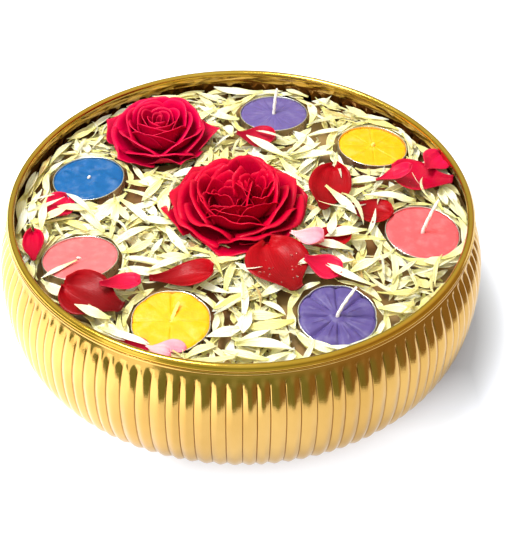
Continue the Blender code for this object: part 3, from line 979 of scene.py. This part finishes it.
def rose_petal(az, rng, span, reach, height, roll, ruffle, point, foot, rows=17, cols=19):
    """One petal of a rose head, with v = 1 all along its rim.

    It rises from its foot, wraps round the axis by span to either side, and rolls out along its rim.
    """
    v = np.linspace(0, 1, rows)[:, None]
    u = np.linspace(-1, 1, cols)[None, :]
    phase = rng.uniform(0, tau, 3)
    s = v * (1 - 0.34 * np.abs(u) ** 3.2)
    belly = reach * rng.uniform(1.02, 1.10)
    a, b, c, d = (1 - s) ** 3, 3 * s * (1 - s) ** 2, 3 * s * s * (1 - s), s**3
    radius = a * foot + b * belly * 0.9 + c * belly + d * reach
    z = b * 0.03 * height + c * 0.55 * height + d * height
    angle = u * span * (0.55 + 0.45 * smoothstep(s / 0.5))
    lip = np.clip((v - 0.70) / 0.30, 0, 1) ** 2
    edge = np.clip((np.abs(u) - 0.7) / 0.3, 0, 1) ** 2 * v
    radius = radius + roll * lip + 0.35 * roll * edge + 0.05 * reach * u * v
    radius = radius + ruffle * 0.7 * np.sin(2.7 * u + phase[0]) * v**3 + point * (1 - np.abs(u)) ** 3 * v**5
    z = z - 0.55 * roll * lip**1.8 + ruffle * np.sin(3.4 * u + phase[1]) * v**2
    z = z + ruffle * (0.32 * np.sin(8.5 * u + phase[2]) + 0.16 * np.sin(17 * u + phase[0])) * v**4
    return around(radius, az + angle, z)


def whorl(sheets, rng, centre, count, start, tone, shape):
    """A ring of like petals round a centre, each a little different."""
    for k in range(count):
        az = start + tau * k / count + rng.uniform(-0.18, 0.18)
        reach, height, span, *rest = [size * (1 + rng.uniform(-0.08, 0.08)) for size in shape]
        points = rose_petal(az, rng, span, *[size * MM for size in (reach, height, *rest)])
        own_tone = float(np.clip(tone + rng.uniform(-0.15, 0.15), 0, 1))
        sheets.add(points + centre, RED_THICK, own_tone)


def make_rose(name, centres, sink, seed, material, green):
    """A rose head. sink is how far its outer petals hang below their feet."""
    rng = np.random.default_rng(seed)
    middle = centre_of(f"{name}_bud")
    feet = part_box(f"{name}_outer_petals")[0].z + sink
    rounds = {part: Sheets() for part in ("outer_petals", "inner_petals", "bud")}
    for part, x, y, whorls in centres:
        centre = np.array([middle.x + x * MM, middle.y + y * MM, feet])
        for count, start, tone, *shape in whorls:
            whorl(rounds[part], rng, centre, count, start, tone, shape)
    for part, sheets in rounds.items():
        node = f"{name}_{part}"
        piece = sheets.piece(f"{node}_blades", material, name, "red_petal")
        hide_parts(node)
    make_calyx(name, feet, green)


def make_calyx(name, feet, green):
    """The hip, which reaches the feet of the rose's petals, and its five sepals."""
    node = f"{name}_calyx"
    low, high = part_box(node)
    middle = (low + high) / 2
    share = (high.z - low.z) / (14.6 * MM)
    top = feet - 0.2 * MM
    line = [(r * MM * share, low.z + (top - low.z) * z / HIP[-1][1]) for r, z in HIP]
    hip = turned(f"{name}_hip", line, 40, green, name, 60)
    hip.data.transform(Matrix.Translation((middle.x, middle.y, 0)))
    leaves = Sheets()
    rng = np.random.default_rng(SEED + 10)
    reach = 5 * MM * share
    for az in full_turn(5):
        shape = blade_points(17 * MM * share, 6.5 * MM * share, rng, 0.5, 0.5, 0.1, 0.2, 0.3)
        leaf = placed(shape, middle.x + reach * cos(az), middle.y + reach * sin(az), az)
        leaf[..., 2] += top - 2.4 * MM
        leaves.add(leaf, 0.5 * MM, 0.5)
    leaves.piece(f"{name}_sepals", green, name, "calyx")
    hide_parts(node)


# ---------------------------------------------------------------- tealights
def outline(light, turn):
    """The pressed outline of a tealight's top, as a share of its radius."""
    dip = np.abs(np.sin(turn * LOBES / 2)) ** 0.7
    return 1 - light.scallop * (1 - dip)


def wax_relief(light, turn, share):
    """Height of the pressed pattern in the wax, in metres, over angle and share of the radius."""
    sector = np.abs(((turn * LOBES / tau) % 1.0) * 2 - 1)
    if light.relief == "flower":
        groove = bell(sector - 1, 0.16) * smoothstep((share - 0.16) / 0.2)
        ridge = bell(sector, 0.09) * smoothstep((share - 0.25) / 0.15) * smoothstep((0.86 - share) / 0.2)
        pillow = (1 - sector**2) * smoothstep((share - 0.2) / 0.5)
        boss = bell(share - 0.13, 0.05)
        return (-0.9 * groove + 0.45 * ridge + 0.5 * pillow + 0.4 * boss - 0.5 * share**6) * MM
    if light.relief == "star":
        groove = bell(sector - 1, 0.10) * smoothstep((share - 0.12) / 0.2)
        boss = bell(share, 0.16) * (1 - 0.5 * sector)
        return (-0.35 * groove + 0.7 * boss - 0.4 * share**4) * MM
    if light.relief == "heart":
        halves = bell(np.sin(turn * 2), 0.10) * smoothstep((share - 0.05) / 0.3)
        pillow = (1 - sector**2) * smoothstep((share - 0.35) / 0.5)
        return (-0.55 * halves * (0.4 + 0.6 * share) + 0.55 * pillow + 0.5 * (1 - share**2)) * MM
    if light.relief == "rays":
        rays = np.abs(((turn * 20 / tau) % 1.0) * 2 - 1)
        return -0.22 * bell(rays - 1, 0.3) * smoothstep((share - 0.1) / 0.3) * MM
    if light.relief == "blistered":
        rng = np.random.default_rng(SEED + 4)
        x, y = share * np.cos(turn), share * np.sin(turn)
        blisters = 0.6 * (1 - share**4)
        for _ in range(60):
            at, middle = 0.95 * np.sqrt(rng.random()), rng.uniform(0, tau)
            gap = np.hypot(x - at * np.cos(middle), y - at * np.sin(middle))
            blisters = blisters + rng.uniform(-0.75, 0.75) * bell(gap, rng.uniform(0.06, 0.16))
        return blisters * MM
    return (0.12 * np.sin(2 * turn + 0.6) * share + 0.10 * np.sin(3 * turn - 7 * share)) * MM


def seat(piece, light, node):
    """Lean and move a piece made upright at the origin to its place in a tealight."""
    piece.data.transform(light.matrix)
    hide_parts(f"{light.name}_tealight_{node}")


def make_wax(light):
    """The wax block, its top pressed with the tealight's pattern and dished at the wick."""
    turn = full_turn(TEALIGHT_SIDES)
    share = np.linspace(0.02, 1.0, 40)[:, None] ** 0.85
    top = WAX_TOP + wax_relief(light, turn, share) - 0.5 * MM * bell(share, 0.07)
    top = top - 0.55 * MM * smoothstep((share - 0.93) / 0.07)
    wall = np.array([(1.0, WAX_TOP - 1.3 * MM), (1.0, 1.2 * MM), (0.97, WAX_FLOOR), (0.5, WAX_FLOOR),
                     (0.02, WAX_FLOOR)])
    r = np.concatenate([share, wall[:, :1]]) * WAX_R * outline(light, turn)
    z = np.concatenate([top, np.repeat(wall[:, 1:], len(turn), 1)])
    wax = new_piece(f"{light.name}_wax_block", around(r, turn, z), ring_faces(*z.shape, True),
                    wax_material(light), light.block_body, sharp=60)
    seat(wax, light, "wax")


def make_cup(light, tin):
    """The thin metal cup: a flat floor, a straight wall that follows the outline, and a fine rolled lip."""
    turn = full_turn(TEALIGHT_SIDES)
    outside = [(0.02, 0.0), (0.55, 0.0), (0.90, 0.0), (0.96, 0.25), (1.0, 1.3), (1.0, CUP_H / MM - 1.0)]
    inside = [(1.0, CUP_H / MM - 1.0), (1.0, 1.3), (0.96, 0.5), (0.5, 0.45), (0.02, 0.45)]
    lip = arc((CUP_WALL_R, CUP_H - 0.45 * MM), 0.26 * MM, -60, 170, 9)
    r, z = np.concatenate([np.array(outside) * (CUP_WALL_R, MM), lip,
                           np.array(inside) * (CUP_WALL_R - CUP_SKIN, MM)]).T
    points = around(r[:, None] * outline(light, turn), turn, z[:, None])
    cup = new_piece(f"{light.name}_cup", points, ring_faces(len(r), len(turn), True), tin,
                    light.cup_body, sharp=50)
    seat(cup, light, "cup")


def make_wick(light, material):
    """A three-ply braided wick that leaves the wax upright and leans over."""
    height, lean_x, lean_y = (value * MM for value in light.wick)
    t = np.linspace(0, 1, 34)[:, None]
    droop = 0.15 * np.clip(-height + 2 * MM, 0, 1)
    rise = CUP_H - WICK_DEPTH + (height + WICK_DEPTH) * (t - droop * t**2)
    path = np.concatenate([lean_x * t**1.5, lean_y * t**1.5, rise], 1)[:, None, :]
    turn = full_turn(18)
    ply = 0.82 * MM * (1 + 0.20 * np.cos(3 * turn + 26 * t)) * (1 - 0.35 * t**8)
    skin = around(ply, turn, 0.0)
    points = np.concatenate([path[:1] + skin[:1] * 0.1, path + skin, path[-1:] + skin[-1:] * 0.1])
    wick = new_piece(f"{light.name}_wick", points, capped_faces(len(points), len(turn)), material,
                     light.block_body)
    seat(wick, light, "wick")


def rest_on_wax(light, shape, place, yaw, material, slot):
    """A petal that lies on a tealight's wax and moves with it. place is measured from the wick, in mm."""
    petal = placed(shape, place[0] * MM, place[1] * MM, radians(yaw))
    petal[..., 2] += CUP_H + 0.6 * MM - np.percentile(petal[..., 2], 15)
    sheets = Sheets()
    sheets.add(petal, 0.3 * MM, 0.8)
    piece = sheets.piece(f"{light.name}_petal_on_wax", material, light.block_body, slot)
    piece.data.transform(light.matrix)


def make_petals_on_wax(white, blush):
    rng = np.random.default_rng(SEED + 5)
    lights = {light.name: light for light in TEALIGHTS}
    strand = blade_points(22 * MM, 3.0 * MM, rng, 0.2, 0.4, 0.3, 0.4, 0.5)
    rest_on_wax(lights["pink_left"], strand, (-1, -4), -137, white, "white_petal")
    small = cupped_points(15 * MM, 8 * MM, rng, 0.3, -0.3, 0.2, 0.3 * MM)
    rest_on_wax(lights["yellow_front"], small, (0, -16.5), -4, blush, "red_petal")


def make_tealights():
    tin = aluminium_material()
    plain = wick_material("wick_white", (0.86, 0.80, 0.78))
    gold = wick_material("wick_yellow", (0.93, 0.72, 0.12))
    for light in TEALIGHTS:
        make_wax(light)
        make_cup(light, tin)
        make_wick(light, gold if light.name.startswith("yellow") else plain)
        tab = frame["nodes"][f"{light.name}_tealight_wick_tab"]
        tab.data.materials.clear()
        tab.data.materials.append(tin)


# ---------------------------------------------------------------- studio
VIEW_ELEVATION = radians(39.13)
VIEW_DISTANCE = 0.7066
LENS = 92.3
SHIFT = (0.0284, -0.1295)
FLOOR_NEAR = 0.245  # metres from the axis to the floor's edge, in front and at the right
FLOOR_FAR = 1.4  # and elsewhere
WALLS = ((0.15, (0.33, 0.39, 0.18)), (0.75, (0.43, 0.29, 0.14)))  # the room, from the front to the right
CEILING = ((0.08, (0.0, 0.0, 0.0)), (0.75, (0.52, 0.52, 0.52)))  # added with height
# name, place, height on the axis that it shines at, size, power in watts, whether the brass mirrors it
LIGHTS = [
    ("key_left", (-0.44, -0.02, 1.34), 0.04, (0.45, 0.45), 22, True),
    ("top", (-0.25, 0.35, 1.25), 0.05, (1.0, 0.8), 4, False),
    ("fill", (-0.35, -0.75, 1.10), 0.05, (1.2, 0.9), 12, False),
    ("window", (-1.00, -0.95, 0.30), 0.05, (0.6, 0.7), 2, True),
]


def floor_material():
    """A pale floor that glows on the left, where a window would light it, in front and away from the bowl."""
    s = Shader("pale_floor", Roughness=0.75, Emission_Strength=2.0)
    place = s.position()
    x, y, _ = s.split(place)
    left = s.span(x, -0.15, 0.03, 1.0, 0.0)
    front = s.span(y, -0.090, -0.045, 0.31, 0.0)
    distance = s.output_of("ShaderNodeVectorMath", "Value", place, operation="LENGTH")
    away = s.span(distance, 0.128, 0.150, 0.0, 0.31)
    glow = s.math("MAXIMUM", left, s.math("MAXIMUM", front, away))
    s.set("Emission Color", s.ramp(glow, (0.0, (0.05, 0.05, 0.065)), (1.0, (0.90, 0.90, 0.92))))
    s.set("Base Color", s.ramp(s.noise(9, 3), (0.3, (0.42, 0.44, 0.51)), (0.7, (0.44, 0.46, 0.53))))
    return s.material


def floor_reach(az):
    """How far the floor goes: not far in front and at the right, so the brass mirrors a dark room there."""
    near = smoothstep((az + radians(142)) / radians(40)) * (1 - smoothstep((az - radians(5)) / radians(30)))
    return FLOOR_NEAR * near + FLOOR_FAR * (1 - near)


def make_floor():
    turn = np.linspace(-pi, pi, 240, endpoint=False)
    corners = around(floor_reach(turn), turn, 0.0)
    mesh = bpy.data.meshes.new("floor")
    mesh.from_pydata(corners.tolist(), [], [tuple(range(len(corners)))])
    mesh.materials.append(floor_material())
    floor = add_object("floor", mesh)
    floor.location.z = -0.2 * MM


def add_light(name, place, height, size, power, mirrored):
    """A soft light; one that isn't mirrored lights the petals without showing in the brass."""
    data = bpy.data.lights.new(name, "AREA")
    data.shape = "RECTANGLE"
    data.size, data.size_y = size
    data.energy = power
    lamp = add_object(name, data)
    lamp.visible_glossy = mirrored
    lamp.location = place
    aim = Vector((0, 0, height)) - Vector(place)
    lamp.rotation_euler = aim.to_track_quat("-Z", "Y").to_euler()


def make_world():
    """White behind the object as the camera sees it; in the reflections, a room that is lighter overhead."""
    world = bpy.data.worlds.new("studio")
    world.use_nodes = True
    w = Nodes(world.node_tree)
    direction = w.split(w.node("ShaderNodeTexCoord").outputs["Generated"])
    room = w.mix(1.0, w.ramp(direction["X"], *WALLS), w.ramp(direction["Z"], *CEILING), "ADD")
    mirrored = w.tree.nodes["Background"]
    w.feed(room, mirrored.inputs["Color"])
    seen = w.output_of("ShaderNodeBackground", "Background", (1, 1, 1, 1))
    by_camera = w.node("ShaderNodeLightPath").outputs["Is Camera Ray"]
    shown = w.output_of("ShaderNodeMixShader", "Shader", by_camera, mirrored.outputs[0], seen)
    w.feed(shown, w.tree.nodes["World Output"].inputs["Surface"])
    bpy.context.scene.world = world


def make_camera():
    data = bpy.data.cameras.new("camera")
    data.lens = LENS
    data.shift_x, data.shift_y = SHIFT
    camera = add_object("camera", data)
    away = Vector((0, -cos(VIEW_ELEVATION), sin(VIEW_ELEVATION)))
    camera.location = Vector((0, 0, RIM_TOP)) + away * VIEW_DISTANCE
    camera.rotation_euler = (-away).to_track_quat("-Z", "Y").to_euler()
    bpy.context.scene.camera = camera
    bpy.context.scene.view_settings.view_transform = "Standard"


def make_studio():
    make_floor()
    make_world()
    for light in LIGHTS:
        add_light(*light)
    make_camera()


# name, dullness, and the deeper and clearer colours that the brass drifts between; the grooves get painted
# shade on top
BRASS = ("brass", 0.10, (0.49, 0.285, 0.07), (0.58, 0.36, 0.105))
RIM_BRASS = ("rim_brass", 0.15, (0.56, 0.33, 0.04), (0.66, 0.41, 0.07))
# name, then the colour at the foot, which is also the colour of the painted shade, where it is lit, and along
# its rim
REDS = {
    "dark": ("dark_red_petal", (0.08, 0.0, 0.001), (0.35, 0.0, 0.005), (0.45, 0.01, 0.015)),
    "crimson": ("crimson_petal", (0.20, 0.0, 0.010), (0.50, 0.0, 0.030), (0.60, 0.05, 0.07)),
    "rose": ("rose_red_petal", (0.34, 0.002, 0.02), (0.62, 0.008, 0.06), (0.7, 0.12, 0.15)),
    "blush": ("blush_petal", (0.85, 0.50, 0.50), (0.80, 0.08, 0.18), (0.85, 0.35, 0.4)),
}
LARGE_RED = ("large_rose_petal", (0.18, 0.0, 0.010), (0.58, 0.0, 0.026), (0.74, 0.03, 0.07))
SMALL_RED = ("small_rose_petal", (0.24, 0.0, 0.016), (0.62, 0.0, 0.050), (0.78, 0.06, 0.12))


def main():
    make_studio()
    make_wall(brass_material(*BRASS))
    make_rim(brass_material(*RIM_BRASS))
    make_water(water_material())
    reds = {family: red_petal_material(*style) for family, style in REDS.items()}
    white = white_petal_material()
    make_floating_petals(white, reds)
    make_petals_on_wax(white, reds["blush"])
    green = leaf_material()
    make_rose("large_rose", LARGE_ROSE, 2.5 * MM, SEED + 1, red_petal_material(*LARGE_RED), green)
    make_rose("small_rose", SMALL_ROSE, 2.0 * MM, SEED + 2, red_petal_material(*SMALL_RED), green)
    make_tealights()


main()
